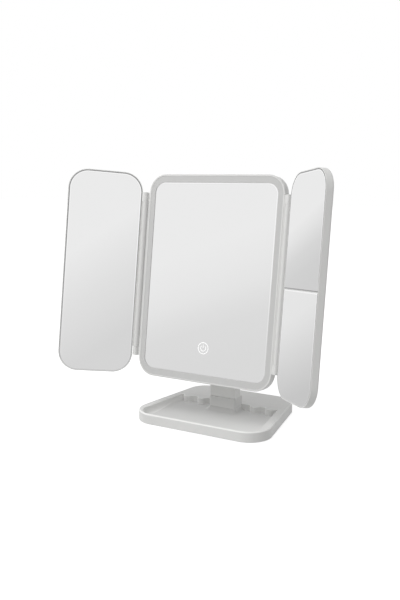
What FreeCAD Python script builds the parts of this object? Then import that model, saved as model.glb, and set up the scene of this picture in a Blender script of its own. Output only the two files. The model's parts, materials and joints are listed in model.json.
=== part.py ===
import FreeCAD, Part
import math
import os
import re

import Sketcher
from FreeCAD import Placement, Rotation, Vector

# Lighted tri-fold vanity mirror on a tray base, in millimetres, +Z up.
# The origin is the middle of the base outline, on the surface that the base stands on.
# The head and the wings are drawn flat in frames of their own and placed at their rest angles.

os.makedirs("parts", exist_ok=True)
doc = FreeCAD.newDocument("vanity_mirror")

# ---------------------------------------------------------------- driving dimensions

SIZES = {
    # base
    "base_front_width": 196.0,
    "base_back_width": 149.0,
    "base_depth": 155.0,
    "base_height": 14.2,
    "base_lift": 0.8,
    "front_corner_radius": 30.0,
    "back_corner_radius": 26.0,
    "base_edge_radius": 2.0,
    "base_wall": 3.0,
    "bottom_plate": 2.0,
    "pad_thickness": 1.8,
    "pad_margin": 9.0,
    "fit_gap": 0.1,
    "ballast_width": 110.0,
    "ballast_depth": 24.0,
    "ballast_height": 8.0,
    "ballast_back": 12.0,
    "ballast_clearance": 0.5,
    "screw_radius": 1.5,
    "screw_x": 64.0,
    "screw_end_inset": 17.5,
    "screw_bite": 1.6,
    # tray well and shelves
    "floor_height": 5.6,
    "front_lip": 3.0,
    "side_rim": 11.0,
    "well_corner_radius": 19.0,
    "well_back_radius": 6.5,
    "well_foot_radius": 6.0,
    "well_edge": 0.6,
    "shelf_line": 18.0,
    "wave_pitch": 22.0,
    "wave_reach": 3.6,
    "wave_start": 29.0,
    "shelf_root": 3.0,
    # neck pedestal
    "pedestal_height": 24.5,
    "pedestal_margin": 0.4,
    "pedestal_back": 5.0,
    "pedestal_corner_radius": 2.5,
    "pedestal_flare": 7.5,
    # neck
    "neck_width": 37.0,
    "neck_depth": 18.0,
    "neck_y": 11.6,
    "neck_bend_height": 44.0,
    "neck_bend_radius": 70.0,
    "neck_wall": 3.0,
    "neck_edge_radius": 1.5,
    "neck_cover_start": 6.0,
    "neck_cover_thickness": 2.0,
    "plug_inset": 2.6,
    "shadow_gap": 1.4,
    "socket_depth": 14.0,
    "socket_clearance": 0.2,
    "neck_screw_bite": 8.0,
    # tilt joint
    "tilt_v": -75.0,
    "tilt_back": 38.0,
    "barrel_radius": 9.0,
    "cover_end_gap": 4.0,
    "ear_thickness": 6.0,
    "ear_spread": 4.0,
    "ear_root": 1.5,
    "washer_thickness": 0.8,
    "washer_radius": 7.0,
    "washer_clearance": 0.1,
    "pin_radius": 2.5,
    "running_clearance": 0.05,
    "cap_radius": 5.5,
    "cap_thickness": 1.2,
    # head
    "head_y": -36.9,
    "head_z": 188.0,
    "lean": 8.25,
    "panel_width": 190.0,
    "panel_height": 261.0,
    "panel_corner_radius": 23.0,
    "panel_depth": 14.0,
    "frame_depth": 8.0,
    "rim_width": 2.2,
    "rim_edge": 0.7,
    "glass_width": 172.0,
    "glass_height": 240.0,
    "glass_corner_radius": 13.5,
    "glass_thickness": 3.0,
    "glass_bevel": 1.2,
    "face_recess": 0.3,
    "carrier_thickness": 2.0,
    "carrier_overlap": 3.0,
    "boss_x": 70.0,
    "boss_y": 106.0,
    "boss_radius": 4.0,
    "cover_screw_length": 7.0,
    "board_thickness": 1.2,
    "board_width": 5.0,
    "board_inset": 5.2,
    "led_pitch": 20.0,
    "led_width": 3.5,
    "led_depth": 2.8,
    "led_height": 1.4,
    "cover_edge_radius": 3.0,
    "cover_wall": 2.0,
    # power housing on the back of the head
    "housing_width": 112.0,
    "housing_height": 74.0,
    "housing_depth": 13.0,
    "housing_radius": 12.0,
    "housing_edge": 2.4,
    "cell_thickness": 8.0,
    "cell_width": 58.0,
    "cell_height": 50.0,
    "cell_x": 22.0,
    "cell_corner_radius": 3.0,
    "control_x": 33.0,
    "control_width": 38.0,
    "control_height": 56.0,
    "chip_width": 7.0,
    "chip_pitch": 15.0,
    "rail_height": 3.0,
    "rail_width": 4.0,
    "usb_width": 9.0,
    "usb_height": 3.2,
    "usb_depth": 7.3,
    "usb_wall": 0.35,
    "usb_corner_radius": 1.5,
    "usb_set_back": 0.3,
    "sign_v": -86.3,
    "touch_pad_width": 18.0,
    "touch_pad_clearance": 0.5,
    # wings
    "hinge_offset": 5.5,
    "hinge_front": 0.4,
    "knuckle_radius": 3.5,
    "knuckle_span": 213.0,
    "end_knuckle": 11.0,
    "knuckle_gap": 0.3,
    "hinge_pin_radius": 1.25,
    "hinge_pin_length": 20.0,
    "pin_end_room": 1.0,
    "arm_thickness": 2.8,
    "wing_edge": 4.0,
    "centre_gap": 0.6,
    "wing_thickness": 9.5,
    "wing_corner_radius": 25.5,
    "wing_rim": 0.9,
    "wing_wall": 2.0,
    "wing_glass": 2.0,
    "wing_backing": 1.5,
    "wing_ledge": 5.0,
    "wing_edge_radius": 2.5,
    "split_v": -3.7,
    "split_bar": 1.1,
    "split_recess": 0.5,
    "left_fold": 39.1,
    "right_fold": 45.1,
}

dims = doc.addObject("Spreadsheet::Sheet", "dims")
for row, (alias, value) in enumerate(SIZES.items(), start=1):
    dims.set("A%d" % row, alias)
    dims.set("B%d" % row, str(value))
    dims.setAlias("B%d" % row, alias)
doc.recompute()


def expression(text):
    """An expression on sheet cells, from the cells' plain names."""
    return re.sub(r"[a-z][a-z0-9]*(_[a-z0-9]+)+|\b(skin|lean)\b", lambda word: "dims." + word.group(0), text)


def size(text):
    """The present value of an expression on the sheet."""
    return float(dims.evalExpression(expression(text)))


# ---------------------------------------------------------------- modelling helpers

def new_body(label):
    body = doc.addObject("PartDesign::Body", label)
    body.Label = label
    return body


def new_sketch(body, name, role="XY_Plane", height="0", across="0", along="0"):
    """A sketch on one of the body's own planes, lifted by height and shifted in its plane."""
    sketch = body.newObject("Sketcher::SketchObject", body.Name + "_" + name)
    plane = next(item for item in body.Origin.OriginFeatures if item.Role == role)
    sketch.AttachmentSupport = (plane, [""])
    sketch.MapMode = "FlatFace"
    sketch.setExpression(".AttachmentOffset.Base.x", expression(across))
    sketch.setExpression(".AttachmentOffset.Base.y", expression(along))
    sketch.setExpression(".AttachmentOffset.Base.z", expression(height))
    return sketch


def bound(sketch, constraint, name, text):
    index = sketch.addConstraint(constraint)
    sketch.renameConstraint(index, name)
    sketch.setExpression("Constraints." + name, expression(text))


def rectangle(sketch, width, height, tag="r"):
    """A rectangle about the sketch's origin, its width and height bound to the sheet."""
    x, y = size(width) / 2, size(height) / 2
    corners = [Vector(-x, -y, 0), Vector(x, -y, 0), Vector(x, y, 0), Vector(-x, y, 0)]
    lines = [sketch.addGeometry(Part.LineSegment(corners[i], corners[(i + 1) % 4])) for i in range(4)]
    for i in range(4):
        sketch.addConstraint(Sketcher.Constraint("Coincident", lines[i], 2, lines[(i + 1) % 4], 1))
        sketch.addConstraint(Sketcher.Constraint("Vertical" if i % 2 else "Horizontal", lines[i]))
    sketch.addConstraint(Sketcher.Constraint("Symmetric", lines[0], 1, lines[2], 1, -1, 1))
    bound(sketch, Sketcher.Constraint("DistanceX", lines[0], 1, lines[0], 2, 2 * x), tag + "_width", width)
    bound(sketch, Sketcher.Constraint("DistanceY", lines[1], 1, lines[1], 2, 2 * y), tag + "_height", height)


def rounded_rectangle(sketch, width, height, radius, tag="r"):
    """A rectangle with round corners about the sketch's origin, bound to the sheet."""
    x, y, r = size(width) / 2, size(height) / 2, size(radius)
    centres = [Vector(x - r, r - y, 0), Vector(x - r, y - r, 0),
               Vector(r - x, y - r, 0), Vector(r - x, r - y, 0)]
    arcs = []
    for quarter, centre in enumerate(centres):
        circle = Part.Circle(centre, Vector(0, 0, 1), r)
        start = (quarter - 1) * math.pi / 2
        arcs.append(sketch.addGeometry(Part.ArcOfCircle(circle, start, start + math.pi / 2)))
    lines = []
    for quarter in range(4):
        before = sketch.Geometry[arcs[quarter - 1]].EndPoint
        after = sketch.Geometry[arcs[quarter]].StartPoint
        lines.append(sketch.addGeometry(Part.LineSegment(before, after)))
    for quarter in range(4):
        sketch.addConstraint(Sketcher.Constraint("Tangent", arcs[quarter - 1], 2, lines[quarter], 1))
        sketch.addConstraint(Sketcher.Constraint("Tangent", lines[quarter], 2, arcs[quarter], 1))
        if quarter:
            sketch.addConstraint(Sketcher.Constraint("Equal", arcs[0], arcs[quarter]))
        sketch.addConstraint(Sketcher.Constraint("Vertical" if quarter % 2 else "Horizontal", lines[quarter]))
    sketch.addConstraint(Sketcher.Constraint("Symmetric", lines[0], 1, lines[2], 1, -1, 1))
    bound(sketch, Sketcher.Constraint("Radius", arcs[0], r), tag + "_radius", radius)
    bound(sketch, Sketcher.Constraint("DistanceX", lines[3], 1, lines[1], 1, 2 * x), tag + "_width", width)
    bound(sketch, Sketcher.Constraint("DistanceY", lines[0], 1, lines[2], 1, 2 * y), tag + "_height", height)


def circle(sketch, radius, tag="c", across="0", along="0"):
    """A circle whose radius and centre are bound to the sheet."""
    x, y = size(across), size(along)
    ring = sketch.addGeometry(Part.Circle(Vector(x, y, 0), Vector(0, 0, 1), size(radius)))
    bound(sketch, Sketcher.Constraint("Radius", ring, size(radius)), tag + "_radius", radius)
    bound(sketch, Sketcher.Constraint("DistanceX", -1, 1, ring, 3, x), tag + "_x", across)
    bound(sketch, Sketcher.Constraint("DistanceY", -1, 1, ring, 3, y), tag + "_y", along)


def outline(sketch, edges):
    """A closed outline of given edges, joined where their ends meet."""
    ids = [sketch.addGeometry(edge) for edge in edges]
    for i, item in enumerate(ids):
        after = ids[(i + 1) % len(ids)]
        ends = [(sketch.getPoint(item, a).distanceToPoint(sketch.getPoint(after, b)), a, b)
                for a in (1, 2) for b in (1, 2)]
        gap, a, b = min(ends)
        if gap > 1e-3:
            raise RuntimeError("open outline in " + sketch.Name)
        sketch.addConstraint(Sketcher.Constraint("Coincident", item, a, after, b))


def pad(body, sketch, length, reverse=False, middle=False):
    feature = body.newObject("PartDesign::Pad", sketch.Name + "_pad")
    feature.Profile = sketch
    feature.setExpression("Length", expression(length))
    feature.Reversed = reverse
    feature.SideType = "Symmetric" if middle else "One side"
    sketch.Visibility = False
    return feature


def pocket(body, sketch, length, reverse=False, middle=False):
    """Cuts a sketch down from its plane: against the plane's normal unless reversed."""
    doc.recompute()
    before = body.Shape.Volume
    feature = body.newObject("PartDesign::Pocket", sketch.Name + "_cut")
    feature.Profile = sketch
    feature.setExpression("Length", expression(length))
    feature.Reversed = reverse
    feature.SideType = "Symmetric" if middle else "One side"
    doc.recompute()
    if not body.Shape.Volume < before - 1e-6:
        raise RuntimeError(feature.Name + " cuts nothing")
    return feature


def fillet(body, radius, chosen, kind="PartDesign::Fillet"):
    """Rounds, or chamfers, the edges of the body's tip that the test picks."""
    doc.recompute()
    tip = body.Tip
    names = ["Edge%d" % (i + 1) for i, edge in enumerate(tip.Shape.Edges) if chosen(edge)]
    if not names:
        raise RuntimeError("no edge to round on " + body.Name)
    feature = body.newObject(kind, "%s_edge_%d" % (body.Name, len(body.Group)))
    feature.Base = (tip, names)
    feature.setExpression("Size" if kind.endswith("Chamfer") else "Radius", expression(radius))
    return feature


def flat_at(height):
    """A test for edges that lie whole at one height of their body's frame."""
    return lambda edge: abs(edge.BoundBox.ZMin - height) < 1e-4 and abs(edge.BoundBox.ZMax - height) < 1e-4


def group(label, shapes):
    """Several like solids as one sub-part."""
    compound = doc.addObject("Part::Compound", label)
    compound.Label = label
    compound.Links = shapes
    return compound


def cylinder(name, radius, height, position, direction=Vector(0, 0, 1)):
    item = doc.addObject("Part::Cylinder", name)
    item.setExpression("Radius", expression(radius))
    item.setExpression("Height", expression(height))
    item.Placement = Placement(position, Rotation(Vector(0, 0, 1), direction))
    return item


parts = []


def finish(part, placement=None):
    """Lists a sub-part for export, at its place."""
    if placement is not None:
        part.Placement = placement
    parts.append(part)
    return part


# ---------------------------------------------------------------- frames and worked-out places

HEAD = Placement(Vector(0, size("head_y"), size("head_z")), Rotation(Vector(1, 0, 0), 90 - size("lean")))
AXIS_X = "panel_width / 2 + hinge_offset"
WING_WIDTH = AXIS_X + " - centre_gap - wing_edge"


def wing_placement(side, fold):
    """The frame of a wing: origin on its hinge axis, front plane just behind the axis."""
    hinge = Placement(Vector(side * size(AXIS_X), 0, size("hinge_front")), Rotation())
    turn = Placement(Vector(0, 0, 0), Rotation(Vector(0, 1, 0), -side * size(fold)))
    drop = Placement(Vector(0, 0, -size("hinge_front")), Rotation())
    return HEAD * hinge * turn * drop


PIVOT = HEAD.multVec(Vector(0, size("tilt_v"), -size("tilt_back")))


def neck_bend():
    """Centre and sweep of the neck's bend, whose straight upper run ends on the tilt axis."""
    radius = size("neck_bend_radius")
    centre = Vector(0, size("neck_y") - radius, size("neck_bend_height"))
    reach = PIVOT - centre
    distance = math.hypot(reach.y, reach.z)
    tangent = math.sqrt(distance ** 2 - radius ** 2)
    sweep = math.atan2(reach.z, reach.y) - math.atan2(tangent, radius)
    return centre, sweep


# ---------------------------------------------------------------- base

def base_slope():
    return (size("base_front_width") - size("base_back_width")) / 2 / size("base_depth")


def rounded_corner(before, corner, after, radius):
    """The arc that rounds a corner between two straight sides, and its two ends."""
    back, ahead = (before - corner).normalize(), (after - corner).normalize()
    half = back.getAngle(ahead) / 2
    centre = corner + (back + ahead).normalize() * (radius / math.sin(half))
    start, end = corner + back * (radius / math.tan(half)), corner + ahead * (radius / math.tan(half))
    middle = centre + (corner - centre).normalize() * radius
    return Part.Arc(start, middle, end), start, end


def base_outline(sketch, inset):
    """The base outline, narrower behind, drawn in by an inset and bound to the sheet."""
    slope_text = "(base_front_width - base_back_width) / 2 / base_depth"
    texts = {
        "front_half": "base_front_width / 2 - (%s) * (1 + %s)" % (inset, slope_text),
        "back_half": "base_back_width / 2 - (%s) * (1 - %s)" % (inset, slope_text),
        "depth_half": "base_depth / 2 - (%s)" % inset,
        "front_radius": "front_corner_radius - (%s)" % inset,
        "back_radius": "back_corner_radius - (%s)" % inset,
    }
    front, back, depth = size(texts["front_half"]), size(texts["back_half"]), size(texts["depth_half"])
    corners = [Vector(-front, -depth, 0), Vector(front, -depth, 0),
               Vector(back, depth, 0), Vector(-back, depth, 0)]
    radii = ["front_radius", "front_radius", "back_radius", "back_radius"]
    rounded = [rounded_corner(corners[i - 1], corners[i], corners[(i + 1) % 4], size(texts[radii[i]]))
               for i in range(4)]
    arcs = [sketch.addGeometry(item[0]) for item in rounded]
    lines = [sketch.addGeometry(Part.LineSegment(rounded[i][2], rounded[(i + 1) % 4][1])) for i in range(4)]
    for i in range(4):
        sketch.addConstraint(Sketcher.Constraint("Tangent", arcs[i], 2, lines[i], 1))
        sketch.addConstraint(Sketcher.Constraint("Tangent", lines[i], 2, arcs[(i + 1) % 4], 1))
    for pair, line, name, half_name in (((0, 1), 0, "front_radius", "front_half"),
                                        ((2, 3), 2, "back_radius", "back_half")):
        sketch.addConstraint(Sketcher.Constraint("Equal", arcs[pair[0]], arcs[pair[1]]))
        sketch.addConstraint(Sketcher.Constraint("Symmetric", lines[line], 1, lines[line], 2, -2))
        bound(sketch, Sketcher.Constraint("Radius", arcs[pair[0]], size(texts[name])), name, texts[name])
        corner = sketch.addGeometry(Part.Point(corners[1 if line == 0 else 2]), True)
        sketch.addConstraint(Sketcher.Constraint("PointOnObject", corner, 1, lines[line]))
        sketch.addConstraint(Sketcher.Constraint("PointOnObject", corner, 1, lines[1]))
        bound(sketch, Sketcher.Constraint("DistanceX", -1, 1, corner, 1, size(texts[half_name])),
              half_name, texts[half_name])
    bound(sketch, Sketcher.Constraint("DistanceY", lines[0], 1, -1, 1, depth), "front_y", texts["depth_half"])
    bound(sketch, Sketcher.Constraint("DistanceY", -1, 1, lines[2], 1, depth), "back_y", texts["depth_half"])


NOTCH_LINE = "shelf_line + wave_reach"


def well_outline(sketch):
    """The tray well: it narrows backwards like the base, and ends under the shelves."""
    slope = base_slope()
    front = -size("base_depth / 2 - front_lip")
    back = size(NOTCH_LINE + " + well_foot_radius + shelf_root")

    def half(y):
        return size("base_front_width / 2 - side_rim") - slope * (y + size("base_depth / 2"))

    corners = [Vector(-half(front), front, 0), Vector(half(front), front, 0),
               Vector(half(back), back, 0), Vector(-half(back), back, 0)]
    radii = [size("well_corner_radius")] * 2 + [size("well_back_radius")] * 2
    rounded = [rounded_corner(corners[i - 1], corners[i], corners[(i + 1) % 4], radii[i]) for i in range(4)]
    edges = []
    for i in range(4):
        edges += [rounded[i][0], Part.LineSegment(rounded[i][2], rounded[(i + 1) % 4][1])]
    outline(sketch, edges)


def scallops(side):
    """One shelf's scalloped edge, from its inner end outwards: tangent arcs, notch and lobe by turns."""
    start, quarter_pitch = size("wave_start"), size("wave_pitch") / 4
    middle, reach = size("shelf_line"), size("wave_reach")
    radius = (quarter_pitch ** 2 + reach ** 2) / (2 * reach)

    def point(quarters):
        """The edge's point after so many quarter pitches: notch, crossing, lobe, crossing, notch."""
        depth = (reach, 0, -reach, 0)[quarters % 4]
        return Vector(side * (start + quarters * quarter_pitch), middle + depth, 0)

    def half_notch(notch, crossing):
        """The half of a notch's arc between its deepest point and a crossing."""
        centre = notch - Vector(0, radius, 0)
        between = centre + ((notch + crossing) / 2 - centre).normalize() * radius
        return Part.Arc(notch, between, crossing)

    arcs = [half_notch(point(0), point(1))]
    arcs += [Part.Arc(point(quarters - 1), point(quarters), point(quarters + 1)) for quarters in (2, 4, 6)]
    arcs.append(half_notch(point(8), point(7)))
    return arcs, point(0), point(8)


def shelf_outline(sketch):
    """Both shelves in one: scalloped edges to the front, straight behind the pedestal, rooted in the rim."""
    right, right_in, right_out = scallops(1)
    left, left_in, left_out = scallops(-1)
    back = size(NOTCH_LINE + " + well_foot_radius + 2 * shelf_root")
    right_back, left_back = Vector(right_out.x, back, 0), Vector(left_out.x, back, 0)
    outline(sketch, left[::-1] + [Part.LineSegment(left_in, right_in)] + right
            + [Part.LineSegment(right_out, right_back), Part.LineSegment(right_back, left_back),
               Part.LineSegment(left_back, left_out)])


PEDESTAL_WIDTH = "neck_width + 2 * pedestal_margin"
PEDESTAL_DEPTH = "neck_depth + 2 * pedestal_margin + pedestal_back"
PEDESTAL_Y = "neck_y + pedestal_back / 2"


def on_pedestal(edge):
    """A test for the edges where the pedestal meets the well floor."""
    box = edge.BoundBox
    return (flat_at(size("floor_height"))(edge) and max(-box.XMin, box.XMax) < size(PEDESTAL_WIDTH) / 2 + 0.01
            and box.YMin > size("%s - (%s) / 2" % (PEDESTAL_Y, PEDESTAL_DEPTH)) - 0.01)


def well_rim(edge):
    """A test for the top edges of the well, inside the base's own rounded edge."""
    inside = "base_depth / 2 - front_lip + fit_gap"
    return flat_at(size("base_height"))(edge) and edge.BoundBox.YMin > -size(inside) \
        and edge.BoundBox.YMax < size(NOTCH_LINE + " + well_foot_radius + shelf_root + fit_gap")


def scalloped(edge):
    """A test for the top edges along the front of the shelves."""
    return well_rim(edge) and edge.BoundBox.YMin > size("shelf_line - wave_reach - fit_gap") \
        and edge.BoundBox.YMax < size(NOTCH_LINE + " + fit_gap")


def make_base_tray():
    """The moulded base: rim, tray well, scalloped shelves and the pedestal whose socket takes the neck."""
    body = new_body("base_tray")
    plate = new_sketch(body, "plate", height="base_lift")
    base_outline(plate, "0")
    pad(body, plate, "base_height - base_lift")
    fillet(body, "base_edge_radius", flat_at(size("base_height")))
    well = new_sketch(body, "well", height="base_height")
    well_outline(well)
    pocket(body, well, "base_height - floor_height")
    fillet(body, "well_foot_radius", flat_at(size("floor_height")))
    fillet(body, "well_edge", well_rim, "PartDesign::Chamfer")
    shelves = new_sketch(body, "shelves", height="base_height")
    shelf_outline(shelves)
    pad(body, shelves, "base_height - floor_height", reverse=True)
    fillet(body, "well_edge", scalloped, "PartDesign::Chamfer")
    pedestal = new_sketch(body, "pedestal", height="floor_height", along=PEDESTAL_Y)
    rounded_rectangle(pedestal, PEDESTAL_WIDTH, PEDESTAL_DEPTH, "pedestal_corner_radius")
    pad(body, pedestal, "pedestal_height - floor_height")
    fillet(body, "pedestal_flare", on_pedestal)
    socket = new_sketch(body, "socket", height="pedestal_height", along="neck_y")
    rectangle(socket, PLUG_WIDTH + " + 2 * socket_clearance", PLUG_DEPTH + " + 2 * socket_clearance")
    pocket(body, socket, "socket_depth")
    recess = new_sketch(body, "recess", height="base_lift")
    base_outline(recess, "base_wall")
    pocket(body, recess, "bottom_plate", reverse=True)
    cavity = new_sketch(body, "cavity", height="base_lift + bottom_plate", along=BALLAST_Y)
    rectangle(cavity, "ballast_width + 2 * ballast_clearance", "ballast_depth + 2 * ballast_clearance")
    pocket(body, cavity, "ballast_height + fit_gap", reverse=True)
    for index, (x, y) in enumerate(base_screw_places()):
        hole = new_sketch(body, "screw_hole_%d" % index, height="base_lift + bottom_plate")
        circle(hole, "screw_radius", across=x, along=y)
        pocket(body, hole, "screw_bite", reverse=True)
    neck_hole = new_sketch(body, "neck_screw_hole", height="base_lift + bottom_plate")
    circle(neck_hole, "screw_radius", along="neck_y")
    pocket(body, neck_hole, "pedestal_height - socket_depth - base_lift - bottom_plate", reverse=True)
    return finish(body)


BALLAST_Y = "base_depth / 2 - ballast_back - ballast_depth / 2"


def base_screw_places():
    """Four screws near the corners of the bottom plate, as expressions."""
    front, back = "screw_end_inset - base_depth / 2", "base_depth / 2 - screw_end_inset"
    return [("0 - screw_x", front), ("screw_x", front), ("0 - screw_x", back), ("screw_x", back)]


def make_base_plate():
    """The bottom plate, set in the recess of the tray, with a shallow seat for the pad."""
    body = new_body("base_plate")
    plate = new_sketch(body, "plate", height="base_lift")
    base_outline(plate, "base_wall + fit_gap")
    pad(body, plate, "bottom_plate")
    seat = new_sketch(body, "seat", height="base_lift")
    base_outline(seat, "pad_margin")
    pocket(body, seat, "pad_thickness - base_lift", reverse=True)
    for index, (x, y) in enumerate(base_screw_places()):
        hole = new_sketch(body, "screw_hole_%d" % index, height="base_lift")
        circle(hole, "screw_radius", across=x, along=y)
        pocket(body, hole, "bottom_plate", reverse=True)
    return finish(body)


def make_base_pad():
    """The non-slip pad that the mirror stands on."""
    body = new_body("base_pad")
    sheet = new_sketch(body, "sheet")
    base_outline(sheet, "pad_margin + fit_gap")
    pad(body, sheet, "pad_thickness")
    return finish(body)


def make_ballast():
    """The steel bar that keeps the base down when the head leans back."""
    body = new_body("ballast_bar")
    bar = new_sketch(body, "bar", height="base_lift + bottom_plate", along=BALLAST_Y)
    rectangle(bar, "ballast_width", "ballast_depth")
    pad(body, bar, "ballast_height")
    return finish(body)


def make_base_screws():
    """The screws that hold the bottom plate, heads up in the pad's seat."""
    screws = []
    for index, (x, y) in enumerate(base_screw_places()):
        place = Vector(size(x), size(y), size("pad_thickness"))
        length = "base_lift + bottom_plate + screw_bite - pad_thickness"
        screws.append(cylinder("base_screw_%d" % index, "screw_radius", length, place))
    return finish(group("base_screws", screws))


# ---------------------------------------------------------------- neck

PLUG_WIDTH = "neck_width - 2 * plug_inset"
PLUG_DEPTH = "neck_depth - 2 * plug_inset"


def neck_side(offset_front, offset_back, low, high_cut=0):
    """Side view of the neck between two offsets from its middle line, as joined edges in the YZ plane.

    Offsets count towards the front. The outline runs from the height low to a cut below the tilt axis.
    """
    centre, sweep = neck_bend()
    centre = Vector(centre.y, centre.z, 0)
    normal = Vector(-math.cos(sweep), -math.sin(sweep), 0)
    radius = size("neck_bend_radius")
    top = Vector(PIVOT.y, PIVOT.z, 0) + Vector(math.sin(sweep), -math.cos(sweep), 0) * high_cut
    sides = []
    for offset in (offset_front, offset_back):
        r = radius - offset
        foot = Vector(size("neck_y") - offset, low, 0)
        start = centre + Vector(r, 0, 0)
        middle = centre + Vector(r * math.cos(sweep / 2), r * math.sin(sweep / 2), 0)
        end = centre + Vector(r * math.cos(sweep), r * math.sin(sweep), 0)
        sides.append((foot, start, middle, end, top + normal * offset))
    front, back = sides
    return [Part.LineSegment(front[0], front[1]), Part.Arc(front[1], front[2], front[3]),
            Part.LineSegment(front[3], front[4]), Part.LineSegment(front[4], back[4]),
            Part.LineSegment(back[4], back[3]), Part.Arc(back[3], back[2], back[1]),
            Part.LineSegment(back[1], back[0]), Part.LineSegment(back[0], front[0])]


def make_neck():
    """The neck moulding: a plug in the socket, a shoulder, a forward bend, and the hinge barrel on top."""
    body = new_body("neck")
    half = size("neck_depth") / 2
    side = new_sketch(body, "side", role="YZ_Plane")
    outline(side, neck_side(half, -half, size("pedestal_height")))
    pad(body, side, "neck_width", middle=True)
    fillet(body, "neck_edge_radius", lambda edge: abs(edge.BoundBox.XMin) > size("neck_width") / 2 - 0.01
           and edge.BoundBox.XLength < 0.01 and edge.BoundBox.ZLength > size("neck_depth") * 0.6)
    barrel = new_sketch(body, "barrel", role="YZ_Plane")
    circle(barrel, "barrel_radius", across=str(PIVOT.y), along=str(PIVOT.z))
    pad(body, barrel, "neck_width", middle=True)
    plug = new_sketch(body, "plug", height="pedestal_height - socket_depth", along="neck_y")
    rectangle(plug, PLUG_WIDTH, PLUG_DEPTH)
    pad(body, plug, "socket_depth")
    groove = new_sketch(body, "groove", height="pedestal_height", along="neck_y - neck_depth / 2")
    rectangle(groove, "neck_width", "2 * plug_inset")
    pocket(body, groove, "shadow_gap", reverse=True)
    hollow = new_sketch(body, "hollow", role="YZ_Plane")
    outline(hollow, neck_side(half - size("neck_wall"), -half - 1, size("pedestal_height + neck_cover_start"),
                              size(COVER_END)))
    pocket(body, hollow, "neck_width - 2 * neck_wall", middle=True)
    bore = new_sketch(body, "bore", role="YZ_Plane")
    circle(bore, "pin_radius + running_clearance", across=str(PIVOT.y), along=str(PIVOT.z))
    pocket(body, bore, "neck_width + 2", middle=True)
    hole = new_sketch(body, "screw_hole", height="pedestal_height - socket_depth", along="neck_y")
    circle(hole, "screw_radius")
    pocket(body, hole, "neck_screw_bite", reverse=True)
    return finish(body)


COVER_END = "barrel_radius + cover_end_gap"


def make_neck_cover():
    """The cover that closes the back of the neck."""
    body = new_body("neck_cover")
    half = size("neck_depth") / 2
    side = new_sketch(body, "side", role="YZ_Plane")
    gap = size("fit_gap")
    outline(side, neck_side(size("neck_cover_thickness") - half, -half,
                            size("pedestal_height + neck_cover_start") + gap, size(COVER_END) + gap))
    pad(body, side, "neck_width - 2 * neck_wall - 2 * fit_gap", middle=True)
    return finish(body)


def make_neck_screw():
    """The screw that holds the neck's plug in the socket, from under the tray."""
    place = Vector(0, size("neck_y"), size("base_lift + bottom_plate"))
    length = "pedestal_height - socket_depth + neck_screw_bite - base_lift - bottom_plate"
    screw = cylinder("neck_screw", "screw_radius", length, place)
    screw.Label = "neck_screw"
    return finish(screw)


# ---------------------------------------------------------------- tilt joint

WASHER_IN = "neck_width / 2 + washer_clearance"
EAR_IN = "neck_width / 2 + washer_clearance + washer_thickness"
EAR_OUT = "neck_width / 2 + washer_clearance + washer_thickness + ear_thickness"


def across_head(name, radius, length, start):
    """A cylinder along the tilt axis, from a place on it, in the world frame."""
    return cylinder(name, radius, length, PIVOT + Vector(start, 0, 0), Vector(1, 0, 0))


def make_tilt_pin():
    """The pin through the barrel and both ears, pressed into the ears."""
    pin = across_head("tilt_pin", "pin_radius", "2 * (%s)" % EAR_OUT, -size(EAR_OUT))
    pin.Label = "tilt_pin"
    return finish(pin)


def make_friction_washers():
    """The two washers that squeeze the barrel, one inside each ear."""
    rings = []
    for side in (-1, 1):
        start = size(WASHER_IN) if side > 0 else -size(EAR_IN)
        disc = across_head("washer_disc_%d" % (side + 1), "washer_radius", "washer_thickness", start)
        bore = across_head("washer_bore_%d" % (side + 1), "pin_radius", "washer_thickness", start)
        ring = doc.addObject("Part::Cut", "washer_%d" % (side + 1))
        ring.Base, ring.Tool = disc, bore
        rings.append(ring)
    return finish(group("friction_washers", rings))


def make_pin_caps():
    """The round caps that hide the ends of the tilt pin."""
    caps = []
    for side in (-1, 1):
        start = size(EAR_OUT) if side > 0 else -size(EAR_OUT + " + cap_thickness")
        caps.append(across_head("pin_cap_%d" % (side + 1), "cap_radius", "cap_thickness", start))
    return finish(group("pin_caps", caps))


# ---------------------------------------------------------------- head

FRAME_INNER_WIDTH = "panel_width - 2 * rim_width"
FRAME_INNER_HEIGHT = "panel_height - 2 * rim_width"
FRAME_INNER_RADIUS = "panel_corner_radius - rim_width"
FACE = "0 - face_recess"
GLASS_BACK = "0 - face_recess - glass_thickness"
CARRIER_BACK = "0 - face_recess - glass_thickness - carrier_thickness"
COVER_FLOOR = "0 - panel_depth + cover_wall"
HOUSING_BACK = "0 - panel_depth - housing_depth"
HOUSING_FLOOR = "0 - panel_depth - housing_depth + cover_wall"
BOARD_BACK = "0 - panel_depth - housing_depth + cover_wall + rail_height"
BOSS_PLACES = [(across, along) for across in ("0 - boss_x", "boss_x")
               for along in ("0 - boss_y", "boss_y")]


def add_knuckle(body, name, x, length, middle, arm_from, arm_to):
    """A hinge knuckle on the axis at x, with the arm that ties it to its piece."""
    arm_z = "hinge_front - knuckle_radius + arm_thickness / 2"
    arm = new_sketch(body, name + "_arm", role="XZ_Plane", height=middle,
                     across="(%s + %s) / 2" % (arm_from, arm_to), along=arm_z)
    rectangle(arm, "sqrt((%s - (%s)) ^ 2)" % (arm_to, arm_from), "arm_thickness")
    pad(body, arm, length, middle=True)
    ring = new_sketch(body, name, role="XZ_Plane", height=middle, across=x, along="hinge_front")
    circle(ring, "knuckle_radius")
    pad(body, ring, length, middle=True)


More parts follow.
